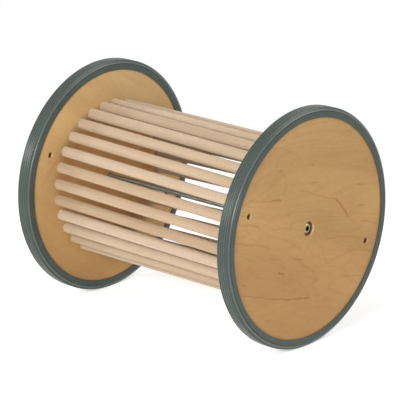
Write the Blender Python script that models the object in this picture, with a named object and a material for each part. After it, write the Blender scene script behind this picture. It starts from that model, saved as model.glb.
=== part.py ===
"""Balance roller: two plywood discs in rubber tyres, held apart by a ring of beech dowels.

A steel tie rod runs down the middle and is drawn tight by a flanged sleeve nut in each disc.

Frame: +X runs along the roller's axis from the left disc to the right disc, +Z is up, and the
origin lies on the floor, halfway between the discs. All sizes are in metres, angles in degrees.
Angles about the axis start at +Y and turn towards +Z.
"""

import math

import bmesh
import bpy
from mathutils import Matrix, Vector

# Fits
FIT_GAP = 0.0003  # clearance between pieces that touch

# Plywood discs
DISC_SPACING = 0.473  # from one inner face to the other
DISC_THICKNESS = 0.025
DISC_RADIUS = 0.2175

# Rubber tyres
TREAD_THICKNESS = 0.0072  # rubber outside the disc's edge
LIP_REACH = 0.0116  # how far each lip covers the disc's face
LIP_THICKNESS = 0.0022
LIP_WIDTH = 0.0107  # across its flat side, from its inner edge to the side groove
SIDE_GROOVE_WIDTH = 0.0004  # from the lip to the bottom of the groove
SIDE_GROOVE_DEPTH = 0.0014
BEAD_RADIUS = 0.0025  # the round bead below each shoulder
BEAD_DROP = 0.0064  # the bead's middle, in from the tread
BEAD_INSET = 0.0033  # the bead's middle, in from the lip's flat side
BEAD_START_ANGLE = 25.0  # below the way outwards
BEAD_END_ANGLE = 80.0  # above the way outwards
TREAD_WIDTH = 0.0200  # between the sloping shoulders
TREAD_RIBS = 5  # flat ribs, all at one pitch
TREAD_RIB_PITCH = 0.0049
TREAD_GROOVE_WIDTH = 0.0016
TREAD_GROOVE_DEPTH = 0.0010

# Ring of dowels
DOWEL_COUNT = 28
DOWEL_DIAMETER = 0.020
DOWEL_PITCH_RADIUS = 0.141
SOCKET_DEPTH = 0.012

# How the discs are turned about the axis
LEFT_DISC_TURN = 154.7  # the line through the left disc's two small holes
DISC_TWIST = 4.6  # the right disc against the left, which leans every dowel

# Small holes through each disc, opposite each other and midway between two dowels
SMALL_HOLE_DIAMETER = 0.012
SMALL_HOLE_RADIUS = 0.176  # their distance from the axis
SMALL_HOLES = 2

# Tie rod and sleeve nuts
ROD_DIAMETER = 0.008
ROD_CHAMFER = 0.0008
ROD_GRIP = 0.0125  # length of rod inside each sleeve nut
COUNTERBORE_DIAMETER = 0.0284
COUNTERBORE_DEPTH = 0.008
COUNTERBORE_CHAMFER = 0.0003  # at its mouth
FLANGE_DIAMETER = 0.024
FLANGE_EDGE = 0.0014  # flange thickness at its rim
HEAD_HEIGHT = 0.0042  # from the flange's underside to the top of the head
HEAD_TOP_DIAMETER = 0.013
SHANK_DIAMETER = 0.0108
SHANK_LENGTH = 0.0155
SHANK_CHAMFER = 0.0005
KEY_SIZE = 0.008  # across the flats of the hexagon socket
KEY_DEPTH = 0.0055
KEY_SIDES = 6

# Number of flat sides used for each round shape
TYRE_SIDES = 64  # a multiple of four, so that a flat side lies on the floor
DOWEL_SIDES = 16
SMALL_HOLE_SIDES = 16
NUT_SIDES = 24
ROD_SIDES = 16
BEAD_STEPS = 4
SMOOTH_ANGLE = 35.0

# Sizes that follow
LIP_RADIUS = DISC_RADIUS - LIP_REACH
TYRE_RADIUS = DISC_RADIUS + FIT_GAP + TREAD_THICKNESS
AXIS_HEIGHT = TYRE_RADIUS * math.cos(math.pi / TYRE_SIDES)
INNER_FACE = DISC_SPACING / 2
DISC_MIDDLE = INNER_FACE + DISC_THICKNESS / 2
OUTER_FACE = INNER_FACE + DISC_THICKNESS
COUNTERBORE_FLOOR = OUTER_FACE - COUNTERBORE_DEPTH
DOWEL_PITCH = 360.0 / DOWEL_COUNT
CUT_PAST = 0.005  # how far a cutter runs past the face it opens

AXIS_TO_WORLD = Matrix.Translation((0, 0, AXIS_HEIGHT))


def clear_scene():
    """Remove whatever the scene holds."""
    for obj in list(bpy.data.objects):
        bpy.data.objects.remove(obj, do_unlink=True)


def material(name, colour, roughness, metallic=0.0):
    """A plain Principled material of one colour."""
    made = bpy.data.materials.new(name)
    made.use_nodes = True
    shader = made.node_tree.nodes["Principled BSDF"]
    shader.inputs["Base Color"].default_value = (*colour, 1.0)
    shader.inputs["Roughness"].default_value = roughness
    shader.inputs["Metallic"].default_value = metallic
    made.diffuse_color = (*colour, 1.0)
    return made


def mesh_from(name, bm, smooth=True):
    """Close the bmesh's normals outwards and turn it into a mesh."""
    bmesh.ops.recalc_face_normals(bm, faces=bm.faces)
    mesh = bpy.data.meshes.new(name)
    bm.to_mesh(mesh)
    bm.free()
    if smooth:
        mesh.shade_smooth()
        mesh.set_sharp_from_angle(angle=math.radians(SMOOTH_ANGLE))
    return mesh


def add_object(name, mesh, finish=None):
    """Put a mesh into the scene as a named object."""
    obj = bpy.data.objects.new(name, mesh)
    bpy.context.scene.collection.objects.link(obj)
    if finish and not mesh.materials:
        mesh.materials.append(finish)
    return obj


def add_cutter(name, mesh):
    """An object that only cuts others."""
    obj = add_object(name, mesh)
    obj.hide_render = True
    obj.display_type = "WIRE"
    return obj


def cut(obj, cutter):
    """Take the cutter's shape out of the object."""
    step = obj.modifiers.new(f"cut_by_{cutter.name}", "BOOLEAN")
    step.operation = "DIFFERENCE"
    step.solver = "EXACT"
    step.object = cutter


def turned(profile, sides, closed_ring):
    """Turn a profile of (x, radius) points about the X axis.

    Vertex i of side j lies at x_i and, at angle (j + 1/2) * 360 / sides, at radius r_i, so a flat
    side faces straight down. A point of radius 0 is one vertex. A ring's profile joins its ends.
    """
    bm = bmesh.new()
    rows = []
    for x, radius in profile:
        if radius == 0:
            rows.append([bm.verts.new((x, 0, 0))] * sides)
            continue
        row = []
        for j in range(sides):
            angle = (j + 0.5) * math.tau / sides
            row.append(bm.verts.new((x, radius * math.cos(angle), radius * math.sin(angle))))
        rows.append(row)
    pairs = list(zip(rows, rows[1:]))
    if closed_ring:
        pairs.append((rows[-1], rows[0]))
    for lower, upper in pairs:
        for j in range(sides):
            k = (j + 1) % sides
            corners = [lower[j], lower[k], upper[k], upper[j]]
            bm.faces.new(list(dict.fromkeys(corners)))
    return bm


def point_at(x, radius, angle):
    """The point at this radius and angle about the roller's axis, with the axis on the X axis."""
    turn = math.radians(angle)
    return Vector((x, radius * math.cos(turn), radius * math.sin(turn)))


def rod_between(bm, start, end, radius, sides):
    """Add a closed cylinder from start to end to the bmesh."""
    along = end - start
    place = Matrix.Translation((start + end) / 2) @ along.to_track_quat("Z", "Y").to_matrix().to_4x4()
    bmesh.ops.create_cone(
        bm,
        cap_ends=True,
        segments=sides,
        radius1=radius,
        radius2=radius,
        depth=along.length,
        matrix=place,
    )


def dowel_line(index):
    """Where a dowel's middle line crosses the left and the right disc's inner face."""
    angle = LEFT_DISC_TURN + (index + 0.5) * DOWEL_PITCH
    left = point_at(-INNER_FACE, DOWEL_PITCH_RADIUS, angle)
    right = point_at(INNER_FACE, DOWEL_PITCH_RADIUS, angle + DISC_TWIST)
    return left, right


def dowel_ends(index, past_socket=0.0):
    """A dowel's two end centres: its middle line runs into each socket, less the fit gap."""
    left, right = dowel_line(index)
    along = (right - left).normalized()
    reach = SOCKET_DEPTH - FIT_GAP + past_socket
    return left - along * reach, right + along * reach


def add_dowels(finish):
    """The ring of equal dowels, each its own object on one shared mesh."""
    first, last = dowel_ends(0)
    bm = bmesh.new()
    half = Vector((0, 0, (last - first).length / 2))
    rod_between(bm, -half, half, DOWEL_DIAMETER / 2, DOWEL_SIDES)
    mesh = mesh_from("dowel", bm)
    for index in range(DOWEL_COUNT):
        left, right = dowel_ends(index)
        obj = add_object(f"dowel_{index + 1:02d}", mesh, finish)
        obj.rotation_mode = "QUATERNION"
        obj.rotation_quaternion = (right - left).to_track_quat("Z", "Y")
        obj.location = AXIS_TO_WORLD @ ((left + right) / 2)


def socket_cutter(side):
    """The blind sockets of one disc, each along its own dowel and one fit gap wider and deeper."""
    bm = bmesh.new()
    for index in range(DOWEL_COUNT):
        left, right = dowel_ends(index, past_socket=FIT_GAP)
        end, other = (left, right) if side < 0 else (right, left)
        inwards = (other - end).normalized()
        mouth = end + inwards * (SOCKET_DEPTH + CUT_PAST)
        # Both ends of every cylinder are given from left to right, as a dowel's are.
        start, stop = (end, mouth) if side < 0 else (mouth, end)
        rod_between(bm, start, stop, DOWEL_DIAMETER / 2 + FIT_GAP, DOWEL_SIDES)
    return bm


def small_hole_cutter(side, disc_turn):
    """The small holes that run right through one disc."""
    bm = bmesh.new()
    for index in range(SMALL_HOLES):
        angle = disc_turn + index * 360.0 / SMALL_HOLES
        ends = sorted((side * (INNER_FACE - CUT_PAST), side * (OUTER_FACE + CUT_PAST)))
        start = point_at(ends[0], SMALL_HOLE_RADIUS, angle)
        stop = point_at(ends[1], SMALL_HOLE_RADIUS, angle)
        rod_between(bm, start, stop, SMALL_HOLE_DIAMETER / 2, SMALL_HOLE_SIDES)
    return bm


def centre_cutter(side):
    """The counterbore for the nut's flange, its 45 degree chamfer, and the hole for the nut's shank."""
    hole = SHANK_DIAMETER / 2 + FIT_GAP
    profile = [
        (side * (INNER_FACE - CUT_PAST), 0),
        (side * (INNER_FACE - CUT_PAST), hole),
        (side * COUNTERBORE_FLOOR, hole),
        (side * COUNTERBORE_FLOOR, COUNTERBORE_DIAMETER / 2),
        (side * (OUTER_FACE - COUNTERBORE_CHAMFER), COUNTERBORE_DIAMETER / 2),
        (side * (OUTER_FACE + CUT_PAST), COUNTERBORE_DIAMETER / 2 + COUNTERBORE_CHAMFER + CUT_PAST),
        (side * (OUTER_FACE + CUT_PAST), 0),
    ]
    return turned(profile, NUT_SIDES, closed_ring=False)


def add_disc(name, side, disc_turn, finish):
    """A round plywood disc, bored for its dowels, its nut and its two small holes."""
    profile = [
        (side * INNER_FACE, 0),
        (side * INNER_FACE, DISC_RADIUS),
        (side * OUTER_FACE, DISC_RADIUS),
        (side * OUTER_FACE, 0),
    ]
    disc = add_object(name, mesh_from(name, turned(profile, TYRE_SIDES, closed_ring=False)), finish)
    disc.location.z = AXIS_HEIGHT
    cutters = {
        "sockets": socket_cutter(side),
        "small_holes": small_hole_cutter(side, disc_turn),
        "centre": centre_cutter(side),
    }
    for what, bm in cutters.items():
        cutter = add_cutter(f"{name}_{what}", mesh_from(f"{name}_{what}", bm, smooth=False))
        cutter.location.z = AXIS_HEIGHT
        cut(disc, cutter)


def tyre_side_profile():
    """Half of the tyre's outside, from the lip's inner edge over the bead to the edge of the tread.

    Each point is (distance from the disc's middle plane, radius).
    """
    face = DISC_THICKNESS / 2 + FIT_GAP
    side = face + LIP_THICKNESS
    lip_end = LIP_RADIUS + LIP_WIDTH
    points = [
        (face, LIP_RADIUS),
        (side, LIP_RADIUS),
        (side, lip_end),
        (side - SIDE_GROOVE_DEPTH, lip_end + SIDE_GROOVE_WIDTH),
    ]
    turn = BEAD_START_ANGLE + BEAD_END_ANGLE
    for step in range(BEAD_STEPS + 1):
        angle = math.radians(step * turn / BEAD_STEPS - BEAD_START_ANGLE)
        x = side - BEAD_INSET + BEAD_RADIUS * math.cos(angle)
        radius = TYRE_RADIUS - BEAD_DROP + BEAD_RADIUS * math.sin(angle)
        points.append((x, radius))
    points.append((TREAD_WIDTH / 2, TYRE_RADIUS))
    return points


def tread_profile():
    """The V grooves between the tread's ribs, from the +X side to the -X side."""
    first = (TREAD_RIBS - 2) / 2 * TREAD_RIB_PITCH
    points = []
    for index in range(TREAD_RIBS - 1):
        middle = first - index * TREAD_RIB_PITCH
        points.append((middle + TREAD_GROOVE_WIDTH / 2, TYRE_RADIUS))
        points.append((middle, TYRE_RADIUS - TREAD_GROOVE_DEPTH))
        points.append((middle - TREAD_GROOVE_WIDTH / 2, TYRE_RADIUS))
    return points


def add_tyre(name, side, finish):
    """A rubber ring whose channel grips the disc's edge, the same on both sides of the disc."""
    half = tyre_side_profile()
    channel_face = DISC_THICKNESS / 2 + FIT_GAP
    channel_radius = DISC_RADIUS + FIT_GAP
    outside = half + tread_profile() + [(-x, radius) for x, radius in reversed(half)]
    inside = [(-channel_face, channel_radius), (channel_face, channel_radius)]
    profile = [(side * DISC_MIDDLE + x, radius) for x, radius in outside + inside]
    tyre = add_object(name, mesh_from(name, turned(profile, TYRE_SIDES, closed_ring=True)), finish)
    tyre.location.z = AXIS_HEIGHT


def add_tie_rod(finish):
    """The threaded rod from sleeve nut to sleeve nut, drawn at its outside diameter."""
    shank_end = COUNTERBORE_FLOOR + FIT_GAP - SHANK_LENGTH
    end = shank_end + ROD_GRIP
    radius = ROD_DIAMETER / 2
    profile = [
        (-end, 0),
        (-end, radius - ROD_CHAMFER),
        (-end + ROD_CHAMFER, radius),
        (end - ROD_CHAMFER, radius),
        (end, radius - ROD_CHAMFER),
        (end, 0),
    ]
    rod = add_object("tie_rod", mesh_from("tie_rod", turned(profile, ROD_SIDES, closed_ring=False)), finish)
    rod.location.z = AXIS_HEIGHT


def add_sleeve_nut(name, side, finish):
    """A nut with a domed flange, a hexagon socket, and a bored shank that the rod screws into."""
    underside = COUNTERBORE_FLOOR + FIT_GAP
    shank_end = underside - SHANK_LENGTH
    head_top = underside + HEAD_HEIGHT
    bore = ROD_DIAMETER / 2 + FIT_GAP
    profile = [
        (shank_end + ROD_GRIP + FIT_GAP, 0),
        (shank_end + ROD_GRIP + FIT_GAP, bore),
        (shank_end, bore),
        (shank_end, SHANK_DIAMETER / 2 - SHANK_CHAMFER),
        (shank_end + SHANK_CHAMFER, SHANK_DIAMETER / 2),
        (underside, SHANK_DIAMETER / 2),
        (underside, FLANGE_DIAMETER / 2),
        (underside + FLANGE_EDGE, FLANGE_DIAMETER / 2),
        (head_top, HEAD_TOP_DIAMETER / 2),
        (head_top, 0),
    ]
    placed = [(side * x, radius) for x, radius in profile]
    nut = add_object(name, mesh_from(name, turned(placed, NUT_SIDES, closed_ring=False)), finish)
    nut.location.z = AXIS_HEIGHT

    ends = sorted((side * (head_top - KEY_DEPTH), side * (head_top + CUT_PAST)))
    key = bmesh.new()
    corner = KEY_SIZE / 2 / math.cos(math.pi / KEY_SIDES)
    rod_between(key, Vector((ends[0], 0, 0)), Vector((ends[1], 0, 0)), corner, KEY_SIDES)
    cutter = add_cutter(f"{name}_key", mesh_from(f"{name}_key", key, smooth=False))
    cutter.location.z = AXIS_HEIGHT
    cut(nut, cutter)


def main():
    clear_scene()
    birch = material("birch_plywood", (0.52, 0.32, 0.15), 0.45)
    beech = material("beech_dowel", (0.68, 0.49, 0.33), 0.55)
    rubber = material("grey_rubber", (0.105, 0.125, 0.115), 0.5)
    zinc = material("zinc_plated_steel", (0.42, 0.42, 0.36), 0.35, metallic=1.0)
    for name, side, disc_turn in (
        ("left", -1, LEFT_DISC_TURN),
        ("right", 1, LEFT_DISC_TURN + DISC_TWIST),
    ):
        add_disc(f"{name}_disc", side, disc_turn, birch)
        add_tyre(f"{name}_tyre", side, rubber)
        add_sleeve_nut(f"{name}_sleeve_nut", side, zinc)
    add_dowels(beech)
    add_tie_rod(zinc)


main()
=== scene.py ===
"""A balance roller: two birch plywood discs in grey rubber tyres, joined by a ring of beech dowels.

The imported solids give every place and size. The tyres, the dowels, the tie rod and the sleeve nuts
are drawn here with their fine forms, and the plywood discs keep their solids and get their veneer.
Everything is in metres: +X runs along the roller's axis to the right disc, and +Z is up.
"""

import math

import bpy
import numpy as np
from mathutils import Matrix, Vector


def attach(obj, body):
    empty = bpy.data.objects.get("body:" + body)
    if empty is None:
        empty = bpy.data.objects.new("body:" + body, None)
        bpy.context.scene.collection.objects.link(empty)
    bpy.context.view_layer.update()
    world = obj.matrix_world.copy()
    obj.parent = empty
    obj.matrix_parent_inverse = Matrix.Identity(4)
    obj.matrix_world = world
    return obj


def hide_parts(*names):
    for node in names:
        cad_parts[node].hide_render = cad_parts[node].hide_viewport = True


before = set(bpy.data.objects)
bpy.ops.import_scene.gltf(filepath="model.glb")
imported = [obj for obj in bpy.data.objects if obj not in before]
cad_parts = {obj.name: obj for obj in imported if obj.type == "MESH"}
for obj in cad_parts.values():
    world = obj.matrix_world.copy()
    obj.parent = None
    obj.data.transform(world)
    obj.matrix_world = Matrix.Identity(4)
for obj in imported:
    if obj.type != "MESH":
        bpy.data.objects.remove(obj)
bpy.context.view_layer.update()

# Sizes of the solids
TYRE_SIDES = 64
AXIS_HEIGHT = 0.225 * math.cos(math.pi / TYRE_SIDES)
OUTER_RADIUS = AXIS_HEIGHT - 0.00002  # round tyres inside the flat sides of the solids
FIT_GAP = 0.0003
INNER_FACE = 0.2365
DISC_THICKNESS = 0.025
DISC_MIDDLE = INNER_FACE + DISC_THICKNESS / 2
OUTER_FACE = INNER_FACE + DISC_THICKNESS
DISC_RADIUS = 0.2175
PLIES = 18

LIP_RADIUS = 0.2059
LIP_THICKNESS = 0.0022
LIP_ROUNDING = 0.0005
LIP_END = 0.2166  # radius at the side groove
GROOVE_BOTTOM = (0.0014, 0.0004)  # in from the lip's flat side, out from the lip's end
BEAD_RADIUS = 0.0025
BEAD_MIDDLE = (0.0033, 0.0064)  # in from the lip's flat side, in from the tread
BEAD_ANGLES = (-25, 80)
WORN_BEAD = (LIP_END + 0.0002, 0.2209)  # radii between which the bead is worn smooth
TREAD_WIDTH = 0.0200
TREAD_ROUNDING = 0.0006
TREAD_RIBS = 5
TREAD_RIB_PITCH = 0.0049
TREAD_GROOVE_WIDTH = 0.0020
TREAD_GROOVE_DEPTH = 0.0009

DOWEL_COUNT = 28
DOWEL_RADIUS = 0.010
DOWEL_PITCH_RADIUS = 0.141
DOWEL_ROUNDING = 0.0012
SOCKET_DEPTH = 0.012
LEFT_DISC_TURN = 154.7
DISC_TWIST = 4.6

COUNTERBORE_FLOOR = OUTER_FACE - 0.008
NUT_UNDERSIDE = COUNTERBORE_FLOOR + FIT_GAP
NUT_FLANGE_RADIUS = 0.012
NUT_FLANGE_EDGE = 0.0014
NUT_RIM_ROUNDING = 0.0004
NUT_HEAD_HEIGHT = 0.0042
NUT_HEAD_TOP_RADIUS = 0.0065
NUT_SHANK_RADIUS = 0.0054
NUT_SHANK_LENGTH = 0.0155
NUT_SHANK_CHAMFER = 0.0005
NUT_KEY_SIZE = 0.008
NUT_KEY_DEPTH = 0.0055
NUT_KEY_CHAMFER = 0.0004
NUT_SOCKET_RADIUS = 0.0047  # just past the hexagon's corners
ROD_RADIUS = 0.004
ROD_GRIP = 0.0125
ROD_CHAMFER = 0.0008
THREAD_PITCH = 0.00125
THREAD_DEPTH = 0.0003  # about half of the real depth
THREAD_FLAT = 0.1  # share of the wave that is cut off flat at the crest, and again at the root

# How finely the round pieces are divided
TYRE_SEGMENTS = 256
BEAD_POINTS = 14
TREAD_POINTS = 160
DOWEL_SEGMENTS = 40
DOWEL_ROWS = 23
ROD_SEGMENTS = 18
ROWS_PER_PITCH = 6
NUT_SEGMENTS = 96
DOME_ROWS = 14
ROUNDED_EDGE = np.linspace(0, math.pi / 2, 5)  # the angles of an edge that is a quarter circle

# How pale the dowels are, by number, from 0 to 1: each dowel's own tone, and for dowels 21 to 23
# along the top also painted light from above. Those left out get theirs at random.
DOWEL_TONES_AND_PAINTED_LIGHT = {
    1: 0.35,
    2: 0.40,
    3: 0.12,
    4: 1.0,
    5: 0.80,
    21: 0.95,
    22: 0.95,
    23: 1.0,
    24: 0.60,
    25: 0.85,
    26: 0.65,
    27: 0.60,
    28: 0.95,
}
GRAIN_SEED = 400  # each dowel's number is added to it

# Sizes of the veneer's patterns
RING_CONTOURS = 26.0  # over the whole range of the noise
STREAK_WANDER = 0.003
PALE_MOUTH = 0.0030  # depth to which a hole's wall is pale, clear of the painted shade
PAINTED_SHADE_BEYOND = 0.0046  # depth from which it is painted brown, as painted shade


# Meshes from grids of points


def grid_quads(rows, columns, close_rows, close_columns):
    """Corner numbers of the quads between neighbouring points of a rows by columns grid."""
    upper = np.arange(rows if close_rows else rows - 1)
    left = np.arange(columns if close_columns else columns - 1)
    i, j = np.meshgrid(upper, left, indexing="ij")
    i_next = (i + 1) % rows
    j_next = (j + 1) % columns
    here = i * columns
    below = i_next * columns
    return np.stack([here + j, here + j_next, below + j_next, below + j], axis=-1).reshape(-1, 4)


def mesh_of(name, points, faces, sharp_angle=40.0):
    """A smooth mesh of these points and faces, with its sharp edges kept."""
    mesh = bpy.data.meshes.new(name)
    mesh.from_pydata(points, [], faces)
    mesh.validate()
    mesh.shade_smooth()
    mesh.set_sharp_from_angle(angle=math.radians(sharp_angle))
    return mesh


def about_axis(profile, turn_angles):
    """The profile of (x, radius) points carried round the roller's axis.

    Point (i, j) is (x_i, r_i cos t_j, axis height + r_i sin t_j). The radius may also be given for
    every angle, as a rows by angles array.
    """
    x, radius = profile
    if radius.ndim == 1:
        radius = radius[:, None]
    radius = np.broadcast_to(radius, (len(x), len(turn_angles)))
    across = radius * np.cos(turn_angles)
    up = AXIS_HEIGHT + radius * np.sin(turn_angles)
    along = np.broadcast_to(x[:, None], across.shape)
    return np.stack([along, across, up], axis=-1)


def turns(sides):
    """Equal angles right round the axis, in radians."""
    return np.arange(sides) * math.tau / sides


def ring_mesh(name, x, radius, sides):
    """A closed profile carried right round the axis."""
    grid = about_axis((x, radius), turns(sides))
    return mesh_of(name, grid.reshape(-1, 3), grid_quads(len(x), sides, True, True))


def capped_mesh(name, grid):
    """A tube of points whose first and last rows are closed by fans to their middles."""
    rows, sides = grid.shape[:2]
    poles = np.stack([grid[0].mean(axis=0), grid[-1].mean(axis=0)])
    points = np.concatenate([grid.reshape(-1, 3), poles])
    j = np.arange(sides)
    k = (j + 1) % sides
    first_fan = np.stack([np.full(sides, rows * sides), k, j], axis=-1)
    last = (rows - 1) * sides
    last_fan = np.stack([np.full(sides, rows * sides + 1), last + j, last + k], axis=-1)
    quads = grid_quads(rows, sides, False, True)
    return mesh_of(name, points, quads.tolist() + first_fan.tolist() + last_fan.tolist())


def flip_if_inside_out(mesh):
    """Turns the faces round where the mesh's signed volume is negative."""
    points = np.empty(len(mesh.vertices) * 3)
    mesh.vertices.foreach_get("co", points)
    points = points.reshape(-1, 3)
    mesh.calc_loop_triangles()
    corners = np.empty(len(mesh.loop_triangles) * 3, np.int32)
    mesh.loop_triangles.foreach_get("vertices", corners)
    a, b, c = (points[corners.reshape(-1, 3)[:, k]] for k in range(3))
    if np.einsum("ij,ij->i", a, np.cross(b, c)).sum() < 0:
        mesh.flip_normals()


def add_piece(name, mesh, finish, slot, *nodes):
    """Puts a mesh, its faces turned outwards, into the scene in place of these nodes."""
    flip_if_inside_out(mesh)
    mesh.materials.append(finish)
    piece = bpy.data.objects.new(name, mesh)
    bpy.context.scene.collection.objects.link(piece)
    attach(piece, "root")
    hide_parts(*nodes)


# Profiles of the pieces


def notch(place, middle, width, depth):
    """Depth of a rounded groove at each place: a raised cosine over its width, nothing outside."""
    away = np.clip(np.abs(place - middle) / (width / 2), 0, 1)
    return depth * (0.5 + 0.5 * np.cos(math.pi * away))


def rounded(start, corner, end, radius, steps=6):
    """Points of the curve that rounds a corner: a parabola that touches both its sides.

    It leaves the first side and joins the second at this distance from the corner, and its point at
    u is (1 - u)^2 a + 2 u (1 - u) corner + u^2 b.
    """
    start, corner, end = (np.array(point, float) for point in (start, corner, end))
    a = corner + (start - corner) / np.linalg.norm(start - corner) * radius
    b = corner + (end - corner) / np.linalg.norm(end - corner) * radius
    u = np.linspace(0, 1, steps)[:, None]
    return (1 - u) ** 2 * a + 2 * u * (1 - u) * corner + u**2 * b


def tyre_profile():
    """The tyre's closed profile as (x from the disc's middle, radius).

    One side runs from the lip's inner edge over its flat side, down into the side groove, round the
    bead, which is an arc of a circle, and up the straight shoulder to the tread. The tread is the
    outer radius less the grooves between its ribs. The other side mirrors the first.
    """
    face = DISC_THICKNESS / 2 + FIT_GAP
    side = face + LIP_THICKNESS
    lip_start = (side, LIP_RADIUS)
    lip_end = (side, LIP_END)
    groove = (side - GROOVE_BOTTOM[0], LIP_END + GROOVE_BOTTOM[1])
    middle = (side - BEAD_MIDDLE[0], OUTER_RADIUS - BEAD_MIDDLE[1])
    turn = np.radians(np.linspace(*BEAD_ANGLES, BEAD_POINTS))
    bead = np.array(middle) + BEAD_RADIUS * np.stack([np.cos(turn), np.sin(turn)], axis=-1)
    shoulder = (TREAD_WIDTH / 2, OUTER_RADIUS)

    half = np.concatenate(
        [
            [(face, LIP_RADIUS)],
            rounded((face, LIP_RADIUS), lip_start, lip_end, LIP_ROUNDING),
            rounded(lip_start, lip_end, groove, LIP_ROUNDING),
            [groove],
            bead,
            rounded(bead[-1], shoulder, (0, OUTER_RADIUS), TREAD_ROUNDING),
        ]
    )

    tread_x = np.linspace(half[-1, 0], -half[-1, 0], TREAD_POINTS + 2)[1:-1]
    tread_r = np.full_like(tread_x, OUTER_RADIUS)
    first = (TREAD_RIBS - 2) / 2 * TREAD_RIB_PITCH
    for index in range(TREAD_RIBS - 1):
        groove_x = first - index * TREAD_RIB_PITCH
        tread_r -= notch(tread_x, groove_x, TREAD_GROOVE_WIDTH, TREAD_GROOVE_DEPTH)

    channel = DISC_RADIUS + FIT_GAP
    other = half[::-1] * (-1, 1)
    profile = np.concatenate(
        [half, np.stack([tread_x, tread_r], axis=-1), other, [(-face, channel), (face, channel)]]
    )
    return profile[:, 0], profile[:, 1]


def add_tyre(name, side, finish, bead_finish):
    """The tyre's profile carried round the disc. The faces on its beads get the second finish."""
    x, radius = tyre_profile()
    mesh = ring_mesh(f"ribbed_{name}", side * DISC_MIDDLE + x, radius, TYRE_SEGMENTS)
    add_piece(f"ribbed_{name}", mesh, finish, "grey_rubber", name)
    mesh.materials.append(bead_finish)
    centres = np.empty(len(mesh.polygons) * 3)
    mesh.polygons.foreach_get("center", centres)
    away = np.hypot(centres[1::3], centres[2::3] - AXIS_HEIGHT)
    on_bead = (away > WORN_BEAD[0]) & (away < WORN_BEAD[1])
    mesh.polygons.foreach_set("material_index", on_bead.astype(np.int32))


def point_at(x, radius, angle):
    """The point at this radius and angle (in degrees) about the roller's axis."""
    turn = math.radians(angle)
    return np.array([x, radius * math.cos(turn), AXIS_HEIGHT + radius * math.sin(turn)])


def add_dowel(index, finish):
    """A round rod with rounded ends, along the line between its two sockets.

    Point (i, j) is start + s_i * along + r_i (cos t_j * across + sin t_j * third), where s and r
    run up one rounded end, straight along the rod and down the other. The attribute in_plank holds
    the same point as it lay in the plank, with along the grain first, so that the grain never
    slides. The attribute tone holds how pale the dowel is.
    """
    name = f"dowel_{index + 1:02d}"
    angle = LEFT_DISC_TURN + (index + 0.5) * 360.0 / DOWEL_COUNT
    left = point_at(-INNER_FACE, DOWEL_PITCH_RADIUS, angle)
    right = point_at(INNER_FACE, DOWEL_PITCH_RADIUS, angle + DISC_TWIST)
    length = np.linalg.norm(right - left)
    along = (right - left) / length
    across = np.cross(along, [0.0, 0.0, 1.0])
    across /= np.linalg.norm(across)
    third = np.cross(along, across)

    reach = SOCKET_DEPTH - FIT_GAP
    whole = length + 2 * reach
    end_s = DOWEL_ROUNDING * (1 - np.cos(ROUNDED_EDGE))
    end_r = DOWEL_RADIUS - DOWEL_ROUNDING * (1 - np.sin(ROUNDED_EDGE))
    middle_s = np.linspace(DOWEL_ROUNDING, whole - DOWEL_ROUNDING, DOWEL_ROWS + 2)[1:-1]
    s = np.concatenate([end_s, middle_s, whole - end_s[::-1]])
    r = np.concatenate([end_r, np.full_like(middle_s, DOWEL_RADIUS), end_r[::-1]])
    t = turns(DOWEL_SEGMENTS)
    start = left - along * reach
    spokes = np.cos(t)[:, None] * across + np.sin(t)[:, None] * third
    grid = start + s[:, None, None] * along + r[:, None, None] * spokes
    mesh = capped_mesh(f"turned_{name}", grid)

    pick = np.random.default_rng(GRAIN_SEED + index)
    offset = pick.uniform(0.0, 4.0, 3)
    turn = pick.uniform(0.0, math.tau)
    plank = np.stack(
        [
            np.broadcast_to(s[:, None], (len(s), len(t))),
            r[:, None] * np.cos(t + turn)[None, :],
            r[:, None] * np.sin(t + turn)[None, :],
        ],
        axis=-1,
    )
    plank = np.concatenate([plank.reshape(-1, 3), [[s[0], 0, 0], [s[-1], 0, 0]]]) + offset
    in_plank = mesh.attributes.new("in_plank", "FLOAT_VECTOR", "POINT")
    in_plank.data.foreach_set("vector", plank.astype(np.float32).reshape(-1))
    paleness = DOWEL_TONES_AND_PAINTED_LIGHT.get(index + 1, pick.uniform(0.1, 0.9))
    tone = mesh.attributes.new("tone", "FLOAT", "POINT")
    tone.data.foreach_set("value", np.full(len(plank), paleness, np.float32))
    add_piece(f"turned_{name}", mesh, finish, "beech", name)


def add_tie_rod(finish):
    """The rod with its rolled thread, on the axis.

    The radius at (x, t) is the outside radius less the thread's depth times a triangle wave of
    x / pitch - t / full turn, so that the groove climbs one pitch in each turn. The wave is cut off
    flat at the crest and the root, and each end of the rod is chamfered to the root.
    """
    end = NUT_UNDERSIDE - NUT_SHANK_LENGTH + ROD_GRIP
    rows = int(2 * end / THREAD_PITCH * ROWS_PER_PITCH) + 1
    x = np.linspace(-end, end, rows)
    t = turns(ROD_SEGMENTS)
    phase = (x[:, None] / THREAD_PITCH - t[None, :] / math.tau) % 1.0
    wave = np.abs(2 * phase - 1)
    cut = THREAD_DEPTH * np.clip((wave - THREAD_FLAT) / (1 - 2 * THREAD_FLAT), 0, 1)
    chamfer = np.clip((end - np.abs(x)) / ROD_CHAMFER, 0, 1)
    radius = ROD_RADIUS - np.maximum(cut, THREAD_DEPTH * (1 - chamfer)[:, None])
    mesh = capped_mesh("threaded_tie_rod", about_axis((x, radius), t))
    add_piece("threaded_tie_rod", mesh, finish, "zinc_plated_steel", "tie_rod")


def hexagon(t, flats):
    """Radius of a hexagon with this width across its flats, at each angle."""
    within = (t + math.pi / 6) % (math.pi / 3) - math.pi / 6
    return flats / 2 / np.cos(within)


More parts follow.
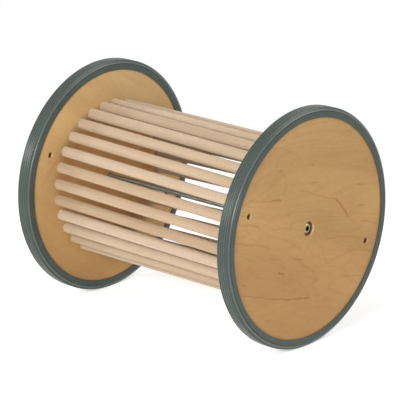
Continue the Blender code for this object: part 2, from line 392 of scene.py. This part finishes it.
def add_sleeve_nut(name, side, finish):
    """The nut: a bored shank, a flange domed up to a small flat top, and a hexagon socket.

    Each row of the profile is a circle, except in the socket, where the radius at each angle is the
    hexagon's. The profile runs from the bottom of the bore, out and round the flange, over the dome
    and down into the socket. As the dome's radius goes the share u of its way inwards, its height
    goes the share (sin of u quarter turns) ^ 1.3 of its way up.
    """
    shank_end = NUT_UNDERSIDE - NUT_SHANK_LENGTH
    head_top = NUT_UNDERSIDE + NUT_HEAD_HEIGHT
    bore = ROD_RADIUS + FIT_GAP
    bore_end = shank_end + ROD_GRIP + FIT_GAP
    rim = NUT_UNDERSIDE + NUT_FLANGE_EDGE
    flat_rim = NUT_FLANGE_RADIUS - NUT_RIM_ROUNDING

    rim_x = rim - NUT_RIM_ROUNDING + NUT_RIM_ROUNDING * np.sin(ROUNDED_EDGE)
    rim_r = flat_rim + NUT_RIM_ROUNDING * np.cos(ROUNDED_EDGE)
    rise = np.linspace(0.06, 1, DOME_ROWS)
    dome_r = flat_rim + (NUT_HEAD_TOP_RADIUS - flat_rim) * rise
    dome_x = rim + (head_top - rim) * np.sin(rise * math.pi / 2) ** 1.3

    shank = [
        (bore_end, bore),
        (shank_end, bore),
        (shank_end, NUT_SHANK_RADIUS - NUT_SHANK_CHAMFER),
        (shank_end + NUT_SHANK_CHAMFER, NUT_SHANK_RADIUS),
        (NUT_UNDERSIDE, NUT_SHANK_RADIUS),
        (NUT_UNDERSIDE, NUT_FLANGE_RADIUS),
    ]
    rows = np.concatenate(
        [
            shank,
            np.stack([rim_x, rim_r], axis=-1),
            np.stack([dome_x, dome_r], axis=-1),
            [(head_top, 0), (head_top - NUT_KEY_CHAMFER, 0), (head_top - NUT_KEY_DEPTH, 0)],
        ]
    )
    x, r = rows[:, 0], rows[:, 1]
    t = turns(NUT_SEGMENTS)
    radius = np.repeat(r[:, None], len(t), axis=1)
    radius[-3] = hexagon(t, NUT_KEY_SIZE) + NUT_KEY_CHAMFER
    radius[-2:] = hexagon(t, NUT_KEY_SIZE)
    mesh = capped_mesh(f"flanged_{name}", about_axis((side * x, radius), t))
    add_piece(f"flanged_{name}", mesh, finish, "zinc_plated_steel", name)


# Materials

MATH = "ShaderNodeMath"
VECTOR_MATH = "ShaderNodeVectorMath"
MAP_RANGE = "ShaderNodeMapRange"
NOISE = "ShaderNodeTexNoise"
TO_XYZ = "ShaderNodeSeparateXYZ"


def colour(code):
    """An sRGB hex colour as linear red, green, blue and alpha."""
    parts = [int(code[k : k + 2], 16) / 255 for k in (1, 3, 5)]
    return [p / 12.92 if p <= 0.04045 else ((p + 0.055) / 1.055) ** 2.4 for p in parts] + [1.0]


def add(tree, kind, inputs=None, **settings):
    """Adds a node with its settings. Each input is a value, or the output that is linked to it."""
    made = tree.nodes.new(kind)
    for key, value in settings.items():
        setattr(made, key, value)
    for key, value in (inputs or {}).items():
        if isinstance(value, bpy.types.NodeSocket):
            tree.links.new(value, made.inputs[key])
        else:
            made.inputs[key].default_value = value
    return made


def blank(name):
    """An empty node material and its Principled shader."""
    made = bpy.data.materials.new(name)
    made.use_nodes = True
    return made, made.node_tree, made.node_tree.nodes["Principled BSDF"]


def ramp(tree, factor, stops):
    """A colour ramp through (place, hex colour) stops."""
    made = add(tree, "ShaderNodeValToRGB", {"Fac": factor})
    points = made.color_ramp.elements
    while len(points) < len(stops):
        points.new(0.5)
    for point, (place, code) in zip(points, stops):
        point.position = place
        point.color = colour(code)
    return made.outputs["Color"]


def mixed(tree, factor, first, second, blend="MIX"):
    """Two colours mixed by a factor."""
    inputs = {0: factor, 6: first, 7: second}
    return add(tree, "ShaderNodeMix", inputs, data_type="RGBA", blend_type=blend).outputs[2]


def stretched(tree, source, per_metre, turn=(0, 0, 0), place=(0, 0, 0)):
    """The source's coordinates moved, turned and scaled, so that one unit is one pattern cell."""
    moved = add(tree, VECTOR_MATH, {0: source, 1: place}, operation="SUBTRACT")
    turned = add(tree, "ShaderNodeMapping", {"Vector": moved.outputs[0], "Rotation": turn})
    inputs = {0: turned.outputs[0], 1: per_metre}
    return add(tree, VECTOR_MATH, inputs, operation="MULTIPLY").outputs[0]


def off_axis(tree, place):
    """How far a place is from the roller's axis."""
    moved = add(tree, VECTOR_MATH, {0: place, 1: (0, 0, AXIS_HEIGHT)}, operation="SUBTRACT")
    flat = add(tree, VECTOR_MATH, {0: moved.outputs[0], 1: (0, 1, 1)}, operation="MULTIPLY")
    return add(tree, VECTOR_MATH, {0: flat.outputs[0]}, operation="LENGTH").outputs["Value"]


def off_disc_middle(tree, x):
    """How far a place is, along the axis, from the middle of the nearer disc."""
    out = add(tree, MATH, {0: x}, operation="ABSOLUTE")
    past = add(tree, MATH, {0: out.outputs[0], 1: DISC_MIDDLE}, operation="SUBTRACT")
    return add(tree, MATH, {0: past.outputs[0]}, operation="ABSOLUTE").outputs[0]


# Streaks of the veneer: each has its width in millimetres, how dark it is, and the places (y, z) in
# millimetres from the disc's middle that it is drawn through.
STREAKS = {
    "right": [
        (4.2, 0.80, (75, 39), (91, 24), (103, 11), (109, 1)),
        (3.2, 0.34, (109, 1), (117, -9), (128, -17)),
        (3.0, 0.34, (-165, 91), (-125, 80), (-103, 76)),
        (3.5, 0.92, (-103, 78), (-79, 73)),
        (2.8, 0.39, (-25, 79), (-5, 72), (20, 59), (45, 50), (72, 40)),
        (3.2, 0.63, (8, 86), (20, 83)),
        (3.0, 0.57, (136, 54), (153, 50)),
        (3.5, 0.75, (143, 11), (153, 9)),
        (2.8, 0.52, (-65, 42), (-51, 37)),
        (3.0, 0.42, (150, -20), (170, -24)),
        (3.0, 0.30, (170, -24), (195, -36)),
        (3.0, 0.44, (-185, 51), (-160, 45), (-138, 36)),
        (3.8, 0.34, (-197, 20), (-170, 11), (-145, 5), (-117, -5), (-111, -12), (-117, -21)),
        (3.0, 0.32, (-105, -31), (-85, -37), (-73, -47), (-69, -60)),
        (4.2, 0.86, (-83, -64), (-70, -69)),
        (3.5, 0.55, (-40, -47), (-20, -55)),
        (3.0, 0.30, (-55, -38), (-40, -47), (-10, -70), (15, -85), (25, -99), (10, -109)),
        (3.2, 0.34, (45, -32), (85, -35), (115, -42), (157, -56)),
        (2.5, 0.52, (-185, -81), (-135, -97), (-95, -110), (-68, -117)),
        (3.5, 1.00, (-68, -118), (-53, -121)),
        (2.5, 0.52, (-53, -121), (-37, -124)),
        (3.5, 0.86, (-37, -125), (-17, -128)),
        (3.5, 0.98, (-12, -130), (2, -132)),
        (2.8, 0.40, (18, -130), (32, -136)),
        (3.5, 0.69, (-83, 129), (-77, 125)),
        (3.0, 0.57, (6, 120), (10, 119)),
        (3.0, 0.52, (-182, -61), (-176, -63)),
        (3.5, 0.63, (-116, -146), (-108, -147)),
        (3.8, 0.25, (-76, 125), (-65, 112), (-64, 95), (-72, 80)),
        (3.8, 0.23, (-150, 117), (-132, 127), (-110, 127)),
        (3.8, 0.28, (52, -80), (90, -73), (125, -70), (185, -87)),
        (3.2, 0.25, (36, -42), (49, -75)),
        (3.2, 0.28, (-100, 22), (-75, 20), (-45, 11)),
        (3.2, 0.28, (-70, -2), (-35, -25), (-20, -32)),
        (3.0, 0.34, (100, -115), (165, -130)),
        (4.0, 0.23, (-130, 185), (-75, 167), (-35, 148)),
    ],
    "left": [
        (3.2, 0.18, (-185, 20), (-150, 55), (-128, 72)),
        (3.2, 0.16, (-60, 150), (-15, 172)),
    ],
}


def streaks(tree, place, strokes):
    """How dark the veneer's streaks are at each place.

    A stroke is full along the straight lines between its places and falls off smoothly to nothing
    at its width away from them. Where strokes meet, the darker one counts.
    """
    total = 0.0
    for width, strength, *corners in strokes:
        for start, end in zip(corners, corners[1:]):
            along = Vector((0, end[0] - start[0], end[1] - start[1]))
            away = add(tree, VECTOR_MATH, {0: place, 1: (0, *start)}, operation="SUBTRACT")
            away = away.outputs[0]
            inputs = {0: away, 1: along / along.length_squared}
            part = add(tree, VECTOR_MATH, inputs, operation="DOT_PRODUCT").outputs["Value"]
            part = add(tree, MATH, {0: part, 1: 0.0}, operation="MAXIMUM").outputs[0]
            part = add(tree, MATH, {0: part, 1: 1.0}, operation="MINIMUM").outputs[0]
            foot = add(tree, VECTOR_MATH, {0: along, "Scale": part}, operation="SCALE")
            inputs = {0: away, 1: foot.outputs[0]}
            gap = add(tree, VECTOR_MATH, inputs, operation="DISTANCE").outputs["Value"]
            inputs = {"Value": gap, "From Max": width, "To Min": strength, "To Max": 0.0}
            dark = add(tree, MAP_RANGE, inputs, interpolation_type="SMOOTHSTEP")
            total = add(tree, MATH, {0: dark.outputs[0], 1: total}, operation="MAXIMUM").outputs[0]
    return total


def painted_shade_inside(tree, place, x):
    """Where painted shade goes: 1 on the inner faces within the ring of dowels, and 0 on the rest of
    the discs.

    It falls off over the last 12 mm before the circle of the dowels' middles.
    """
    out = add(tree, MATH, {0: x}, operation="ABSOLUTE")
    inner_side = add(tree, MATH, {0: out.outputs[0], 1: DISC_MIDDLE}, operation="LESS_THAN")
    within = add(
        tree,
        MAP_RANGE,
        {
            "Value": off_axis(tree, place),
            "From Min": DOWEL_PITCH_RADIUS - 0.012,
            "From Max": DOWEL_PITCH_RADIUS,
            "To Min": 1.0,
            "To Max": 0.0,
        },
    )
    inputs = {0: within.outputs[0], 1: inner_side.outputs[0]}
    return add(tree, MATH, inputs, operation="MULTIPLY").outputs[0]


def plies_of(tree, x):
    """The plywood's light and dark plies, pale at the mouth of a hole and painted brown further in,
    as painted shade.
    """
    layer = add(tree, MATH, {0: x, 1: PLIES / DISC_THICKNESS / 2}, operation="MULTIPLY")
    layer = add(tree, MATH, {0: layer.outputs[0]}, operation="FRACT")
    bands = [(0.0, "#c9a27c"), (0.04, "#dcc0a0"), (0.5, "#ead6be"), (0.54, "#c9a27c")]
    mouth = add(
        tree,
        MAP_RANGE,
        {
            "Value": off_disc_middle(tree, x),
            "From Min": DISC_THICKNESS / 2 - PAINTED_SHADE_BEYOND,
            "From Max": DISC_THICKNESS / 2 - PALE_MOUTH,
        },
    )
    edge = ramp(tree, layer.outputs[0], bands)
    # Painted shade: deeper in the hole the wall turns brown.
    return mixed(tree, mouth.outputs[0], colour("#a06c42"), edge)


def birch_plywood(name, grain_angle, seed, tones, painted_shade_below, ring_strength, strokes):
    """Birch plywood, rotary-cut veneer under satin lacquer.

    It gives the eye a honey-coloured sheet with slow clouds of tone, faint wavy ring lines along
    the grain, and thin reddish-brown streaks. Painted shade darkens it towards its lower edge and
    tints it redder inside the ring of dowels. On the walls of the holes the plies show as light and
    dark bands, pale at the mouth and painted dark further in, as painted shade.
    """
    made, tree, shader = blank(name)
    place = add(tree, "ShaderNodeTexCoord").outputs["Object"]
    spot = add(tree, TO_XYZ, {"Vector": place})
    turn = (math.radians(grain_angle), 0, 0)
    middle = (seed, 0, AXIS_HEIGHT)

    # Clouds of tone, about 290 mm long and 90 mm wide.
    cells = stretched(tree, place, (1, 3.5, 11), turn, middle)
    clouds = add(tree, NOISE, {"Vector": cells, "Scale": 1, "Detail": 3, "Roughness": 0.55})
    base = ramp(tree, clouds.outputs["Fac"], list(zip((0.3, 0.5, 0.72), tones)))

    # Painted shade: the sheet is a little darker towards its lower edge, where less light falls.
    up = add(
        tree,
        MAP_RANGE,
        {"Value": spot.outputs["Z"], "From Min": AXIS_HEIGHT - 0.2, "From Max": AXIS_HEIGHT + 0.2},
    )
    painted_shade_ramp = ramp(tree, up.outputs[0], [(0.0, painted_shade_below), (1.0, "#ffffff")])
    base = mixed(tree, 1.0, base, painted_shade_ramp, "MULTIPLY")

    # Painted shade: within the ring of dowels the inner face is tinted redder, for the shade of the
    # dowels and the pinkish light they bounce onto it.
    painted_shade = painted_shade_inside(tree, place, spot.outputs["X"])
    painted_shade = add(tree, MATH, {0: painted_shade, 1: 0.4}, operation="MULTIPLY")
    base = mixed(tree, painted_shade.outputs[0], base, colour("#e59d5d"))

    # Ring lines: contours of a slow noise field, one line about every 12 mm across the grain.
    cells = stretched(tree, place, (1, 1.6, 9), turn, middle)
    field = add(
        tree,
        NOISE,
        {"Vector": cells, "Scale": 1, "Detail": 2, "Roughness": 0.5, "Distortion": 0.3},
    )
    rings = add(tree, MATH, {0: field.outputs["Fac"], 1: RING_CONTOURS}, operation="MULTIPLY")
    rings = add(tree, MATH, {0: rings.outputs[0]}, operation="FRACT")
    stops = [(0.0, "#000000"), (0.6, "#000000"), (0.92, "#ffffff"), (1.0, "#000000")]
    ring_line = ramp(tree, rings.outputs[0], stops)

    # Fine fibres: 12 mm long and 0.9 mm wide, coarser than the real ones so that they show.
    cells = stretched(tree, place, (1, 80, 1100), turn, middle)
    fibres = add(tree, NOISE, {"Vector": cells, "Scale": 1, "Detail": 2, "Roughness": 0.6})
    fibre = ramp(tree, fibres.outputs["Fac"], [(0.35, "#000000"), (0.7, "#ffffff")])

    shade = mixed(tree, 0.10, base, fibre, "SOFT_LIGHT")
    ring_dark = add(tree, MATH, {0: ring_line, 1: ring_strength}, operation="MULTIPLY")
    shade = mixed(tree, ring_dark.outputs[0], shade, colour("#935f38"))

    # The streaks wander up to 3 mm from their straight lines, and break up along their length.
    wander = add(tree, NOISE, {"Vector": place, "Scale": 60, "Detail": 2, "Roughness": 0.6})
    to_middle = (-STREAK_WANDER, -STREAK_WANDER, -STREAK_WANDER - AXIS_HEIGHT)
    shift = add(
        tree,
        VECTOR_MATH,
        {0: wander.outputs["Color"], 1: (2 * STREAK_WANDER,) * 3, 2: to_middle},
        operation="MULTIPLY_ADD",
    )
    drawn_at = add(tree, VECTOR_MATH, {0: place, 1: shift.outputs[0]}, operation="ADD")
    in_mm = {0: drawn_at.outputs[0], 1: (0, 1000, 1000)}
    drawn_at = add(tree, VECTOR_MATH, in_mm, operation="MULTIPLY").outputs[0]
    broken = ramp(tree, fibres.outputs["Fac"], [(0.30, "#8c8c8c"), (0.62, "#ffffff")])
    streak = streaks(tree, drawn_at, strokes)
    streak = add(tree, MATH, {0: streak, 1: broken}, operation="MULTIPLY")
    shade = mixed(tree, streak.outputs[0], shade, colour("#96511c"))

    # The plies show on the walls of the holes, which face across the axis.
    normal = add(tree, "ShaderNodeNewGeometry").outputs["Normal"]
    facing = add(tree, TO_XYZ, {"Vector": normal})
    wall = add(tree, MATH, {0: facing.outputs["X"]}, operation="ABSOLUTE")
    wall = add(tree, MATH, {0: wall.outputs[0], 1: 0.5}, operation="LESS_THAN")
    shade = mixed(tree, wall.outputs[0], shade, plies_of(tree, spot.outputs["X"]))

    tree.links.new(shade, shader.inputs["Base Color"])
    shader.inputs["Roughness"].default_value = 0.5
    shader.inputs["Specular IOR Level"].default_value = 0.35
    relief = {"Height": fibres.outputs["Fac"], "Strength": 0.05, "Distance": 0.0002}
    bump = add(tree, "ShaderNodeBump", relief)
    tree.links.new(bump.outputs["Normal"], shader.inputs["Normal"])
    return made


def turned_beech():
    """Beech dowel, turned, sanded and left pale.

    It gives the eye a pinkish cream rod with fine darker flecks along the grain, soft bands of
    tone, and a slightly different tone from one dowel to the next; those along the top are also
    painted paler, as painted light from above.
    """
    made, tree, shader = blank("beech_turned_and_sanded")
    plank = add(tree, "ShaderNodeAttribute", attribute_name="in_plank").outputs["Vector"]
    tone = add(tree, "ShaderNodeAttribute", attribute_name="tone").outputs["Fac"]

    # Soft bands of tone, about 200 mm long and 11 mm wide.
    cells = stretched(tree, plank, (5, 90, 90))
    bands = add(tree, NOISE, {"Vector": cells, "Scale": 1, "Detail": 3, "Roughness": 0.5})
    base = ramp(tree, bands.outputs["Fac"], [(0.3, "#a68c72"), (0.5, "#b29b81"), (0.7, "#bca791")])
    by_dowel = ramp(tree, tone, [(0.0, "#9e8465"), (0.5, "#b29b7f"), (1.0, "#bfab94")])
    base = mixed(tree, 0.60, base, by_dowel)

    # Ray flecks: 6 mm long and 1.1 mm wide, coarser than the real ones so that they show.
    cells = stretched(tree, plank, (160, 900, 900))
    flecks = add(tree, NOISE, {"Vector": cells, "Scale": 1, "Detail": 1, "Roughness": 0.5})
    fleck = ramp(tree, flecks.outputs["Fac"], [(0.62, "#000000"), (0.72, "#ffffff")])
    strength = add(tree, MATH, {0: fleck, 1: 0.36}, operation="MULTIPLY")
    shade = mixed(tree, strength.outputs[0], base, colour("#8a6242"))

    tree.links.new(shade, shader.inputs["Base Color"])
    shader.inputs["Roughness"].default_value = 0.6
    shader.inputs["Diffuse Roughness"].default_value = 0.7
    shader.inputs["Specular IOR Level"].default_value = 0.3
    relief = {"Height": flecks.outputs["Fac"], "Strength": 0.06, "Distance": 0.0002}
    bump = add(tree, "ShaderNodeBump", relief)
    tree.links.new(bump.outputs["Normal"], shader.inputs["Normal"])
    return made


def groove_dust_and_painted_shade(tree, place, radius):
    """Dust and painted shade in the grooves: full in the tread's grooves, less in the side grooves.
    """
    x = add(tree, TO_XYZ, {"Vector": place}).outputs["X"]
    inputs = {0: off_disc_middle(tree, x), 1: TREAD_WIDTH / 2 - 0.001}
    on_tread = add(tree, MATH, inputs, operation="LESS_THAN")
    groove_floor = OUTER_RADIUS - TREAD_GROOVE_DEPTH
    inputs = {"Value": radius, "From Min": OUTER_RADIUS - 0.0002, "From Max": groove_floor}
    deep = add(tree, MAP_RANGE, inputs)
    inputs = {0: deep.outputs[0], 1: on_tread.outputs[0]}
    in_tread = add(tree, MATH, inputs, operation="MULTIPLY")

    inputs = {0: radius, 1: LIP_END + GROOVE_BOTTOM[1]}
    off_groove = add(tree, MATH, inputs, operation="SUBTRACT")
    off_groove = add(tree, MATH, {0: off_groove.outputs[0]}, operation="ABSOLUTE").outputs[0]
    inputs = {"Value": off_groove, "From Min": 0.0009, "From Max": 0.0004, "To Max": 0.45}
    in_side = add(tree, MAP_RANGE, inputs)
    inputs = {0: in_tread.outputs[0], 1: in_side.outputs[0]}
    return add(tree, MATH, inputs, operation="MAXIMUM").outputs[0]


def moulded_rubber(name, shine):
    """Grey natural rubber, moulded, with the faint turning marks of its mould.

    It gives the eye a green-grey satin band whose ribs catch soft highlights and whose grooves are
    painted dark, for dust and painted shade. The bead, worn smoother than the rest, has more shine.
    """
    made, tree, shader = blank(name)
    place = add(tree, "ShaderNodeTexCoord").outputs["Object"]
    radius = off_axis(tree, place)

    # Patches of dust about 20 mm wide, and mould marks: rings about 0.7 mm apart.
    dust = add(tree, NOISE, {"Vector": place, "Scale": 45, "Detail": 4, "Roughness": 0.6})
    base = ramp(tree, dust.outputs["Fac"], [(0.3, "#434c47"), (0.7, "#48514c")])
    marks = add(tree, NOISE, {"W": radius, "Scale": 1400, "Detail": 1}, noise_dimensions="1D")
    lighter = ramp(tree, marks.outputs["Fac"], [(0.45, "#000000"), (0.75, "#ffffff")])
    strength = add(tree, MATH, {0: lighter, 1: 0.06}, operation="MULTIPLY")
    shade = mixed(tree, strength.outputs[0], base, colour("#78827c"))
    # Dust and painted shade: the grooves are painted dark.
    shade = mixed(tree, groove_dust_and_painted_shade(tree, place, radius), shade, colour("#20262a"))

    tree.links.new(shade, shader.inputs["Base Color"])
    shader.inputs["Roughness"].default_value = 0.30
    shader.inputs["Specular IOR Level"].default_value = shine
    relief = {"Height": marks.outputs["Fac"], "Strength": 0.04, "Distance": 0.0003}
    bump = add(tree, "ShaderNodeBump", relief)
    tree.links.new(bump.outputs["Normal"], shader.inputs["Normal"])
    return made


def plated_steel(name, tones, roughness, painted_shade_radius=0.0):
    """Steel, machined and zinc plated.

    It gives the eye a pale metal with a soft, slightly cloudy shine. Within a socket of this radius
    about the roller's axis it is painted dark brown, as painted shade deep in the socket.
    """
    made, tree, shader = blank(name)
    place = add(tree, "ShaderNodeTexCoord").outputs["Object"]
    clouds = add(tree, NOISE, {"Vector": place, "Scale": 350, "Detail": 3})
    shade = ramp(tree, clouds.outputs["Fac"], list(zip((0.3, 0.7), tones)))
    if painted_shade_radius:
        inputs = {
            "Value": off_axis(tree, place),
            "From Min": painted_shade_radius - 0.0003,
            "From Max": painted_shade_radius + 0.0002,
        }
        outside = add(tree, MAP_RANGE, inputs)
        # Painted shade: inside the socket the steel is painted dark brown.
        shade = mixed(tree, outside.outputs[0], colour("#3a2c20"), shade)
    tree.links.new(shade, shader.inputs["Base Color"])
    shader.inputs["Metallic"].default_value = 1.0
    shader.inputs["Roughness"].default_value = roughness
    return made


# Pieces

rubber = moulded_rubber("rubber_moulded_grey", shine=0.22)
bead_rubber = moulded_rubber("rubber_moulded_grey_worn_smooth", shine=0.6)
beech = turned_beech()
nut_steel = plated_steel(
    "steel_turned_and_yellow_zinc_plated", ("#8e886c", "#a09a7e"), 0.42, NUT_SOCKET_RADIUS
)
rod_steel = plated_steel("steel_thread_rolled_and_zinc_plated", ("#787a70", "#94978a"), 0.30)
veneers = {
    "left": birch_plywood(
        "birch_plywood_rotary_cut_left",
        grain_angle=38.0,
        seed=1.7,
        tones=("#b69462", "#c09d6b", "#cba973"),
        painted_shade_below="#f4e4cb",
        ring_strength=0.07,
        strokes=STREAKS["left"],
    ),
    "right": birch_plywood(
        "birch_plywood_rotary_cut_right",
        grain_angle=13.3,
        seed=0.0,
        tones=("#ad8650", "#b68f58", "#c09960"),
        painted_shade_below="#f4ebdd",
        ring_strength=0.15,
        strokes=STREAKS["right"],
    ),
}

for side_name, side in (("left", -1), ("right", 1)):
    add_tyre(f"{side_name}_tyre", side, rubber, bead_rubber)
    add_sleeve_nut(f"{side_name}_sleeve_nut", side, nut_steel)
    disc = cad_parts[f"{side_name}_disc"]
    disc.data.materials.clear()
    disc.data.materials.append(veneers[side_name])
add_tie_rod(rod_steel)
for index in range(DOWEL_COUNT):
    add_dowel(index, beech)

# Floor, backdrop and light

FLOOR_LIFT = 0.47  # what the backdrop's white adds to the lit floor
FLOOR_FADE = (0.55, 1.1)  # distances between which the floor turns into the backdrop
SKY_STRENGTH = 0.36  # for the light that falls on things; seen directly, the sky is at 1
WHITE = colour("#ffffff")

# Azimuth and elevation in degrees, distance and side in metres, and watts
SOFTBOXES = {
    "key_softbox": (16, 22, 2.2, 0.6, 37),
    "front_softbox": (-42, 18, 3.0, 0.4, 21),
    "top_softbox": (-15, 50, 3.0, 1.6, 15),
    "back_softbox": (130, 30, 3.0, 1.6, 36),
}


def seen_directly(tree):
    """1 for what the camera, a reflection or a clear piece shows, and 0 for light on things."""
    rays = add(tree, "ShaderNodeLightPath").outputs
    inputs = {0: rays["Is Camera Ray"], 1: rays["Is Glossy Ray"]}
    shown = add(tree, MATH, inputs, operation="MAXIMUM")
    inputs = {0: shown.outputs[0], 1: rays["Is Transmission Ray"]}
    return add(tree, MATH, inputs, operation="MAXIMUM").outputs[0]


def pale_floor():
    """A plain white floor that keeps the shadow, and fades into the white backdrop around it."""
    made, tree, shader = blank("floor_white_paint")
    shader.inputs["Base Color"].default_value = colour("#f7f7f7")
    shader.inputs["Roughness"].default_value = 0.9
    shader.inputs["Specular IOR Level"].default_value = 0.0
    place = add(tree, "ShaderNodeTexCoord").outputs["Object"]
    away = add(tree, VECTOR_MATH, {0: place}, operation="LENGTH").outputs["Value"]
    inputs = {"Value": away, "From Min": FLOOR_FADE[0], "From Max": FLOOR_FADE[1]}
    fade = add(tree, MAP_RANGE, inputs).outputs[0]
    shown = seen_directly(tree)
    lifted = add(tree, MATH, {0: shown, 1: FLOOR_LIFT}, operation="MULTIPLY").outputs[0]
    lift = add(tree, "ShaderNodeEmission", {"Color": WHITE, "Strength": lifted}).outputs[0]
    painted = add(tree, "ShaderNodeAddShader", {0: shader.outputs[0], 1: lift}).outputs[0]
    white = add(tree, "ShaderNodeEmission", {"Color": WHITE, "Strength": 1.0}).outputs[0]
    faded = add(tree, MATH, {0: fade, 1: shown}, operation="MULTIPLY").outputs[0]
    both = add(tree, "ShaderNodeMixShader", {0: faded, 1: painted, 2: white}).outputs[0]
    tree.links.new(both, tree.nodes["Material Output"].inputs["Surface"])
    return made


floor_mesh = bpy.data.meshes.new("floor")
floor_mesh.from_pydata([(-15, -15, 0), (15, -15, 0), (15, 15, 0), (-15, 15, 0)], [], [(0, 1, 2, 3)])
floor_mesh.materials.append(pale_floor())
floor = bpy.data.objects.new("floor", floor_mesh)
bpy.context.scene.collection.objects.link(floor)

world = bpy.data.worlds.new("white_backdrop")
world.use_nodes = True
sky = world.node_tree
sky_light = sky.nodes["Background"]
sky_light.inputs["Color"].default_value = WHITE
level = add(sky, MAP_RANGE, {"Value": seen_directly(sky), "To Min": SKY_STRENGTH, "To Max": 1.0})
sky.links.new(level.outputs[0], sky_light.inputs["Strength"])
bpy.context.scene.world = world


def direction(azimuth, elevation):
    """The unit vector from the object towards a place at this azimuth and elevation, in degrees."""
    a = math.radians(azimuth)
    e = math.radians(elevation)
    return Vector((math.sin(a) * math.cos(e), -math.cos(a) * math.cos(e), math.sin(e)))


def aimed(obj, place, target):
    """Puts an object at a place, looking at the target, with its top up."""
    back = (place - target).normalized()
    right = Vector((0, 0, 1)).cross(back).normalized()
    up = back.cross(right)
    turn = Matrix((right, up, back)).transposed()
    obj.matrix_world = Matrix.Translation(place) @ turn.to_4x4()


def softbox(name, azimuth, elevation, distance, side, watts):
    """A square lamp that faces the middle of the roller."""
    lamp = bpy.data.lights.new(name, "AREA")
    lamp.shape = "SQUARE"
    lamp.size = side
    lamp.energy = watts
    box = bpy.data.objects.new(name, lamp)
    bpy.context.scene.collection.objects.link(box)
    middle = Vector((0, 0, AXIS_HEIGHT))
    aimed(box, middle + direction(azimuth, elevation) * distance, middle)


for name, aim in SOFTBOXES.items():
    softbox(name, *aim)

# Camera

VIEW_AZIMUTH = 42.075
VIEW_ELEVATION = 17.408
VIEW_DISTANCE = 5.661
VIEW_TARGET = Vector((-0.10145, 0.10807, 0.17831))
SENSOR_WIDTH = 36.0
FOCAL_LENGTH = 265.66

lens = bpy.data.cameras.new("camera")
lens.sensor_width = SENSOR_WIDTH
lens.lens = FOCAL_LENGTH
lens.clip_end = 100
camera = bpy.data.objects.new("camera", lens)
bpy.context.scene.collection.objects.link(camera)
towards_camera = direction(VIEW_AZIMUTH, VIEW_ELEVATION)
aimed(camera, VIEW_TARGET + towards_camera * VIEW_DISTANCE, VIEW_TARGET)
bpy.context.scene.camera = camera

bpy.context.scene.view_settings.view_transform = "Standard"
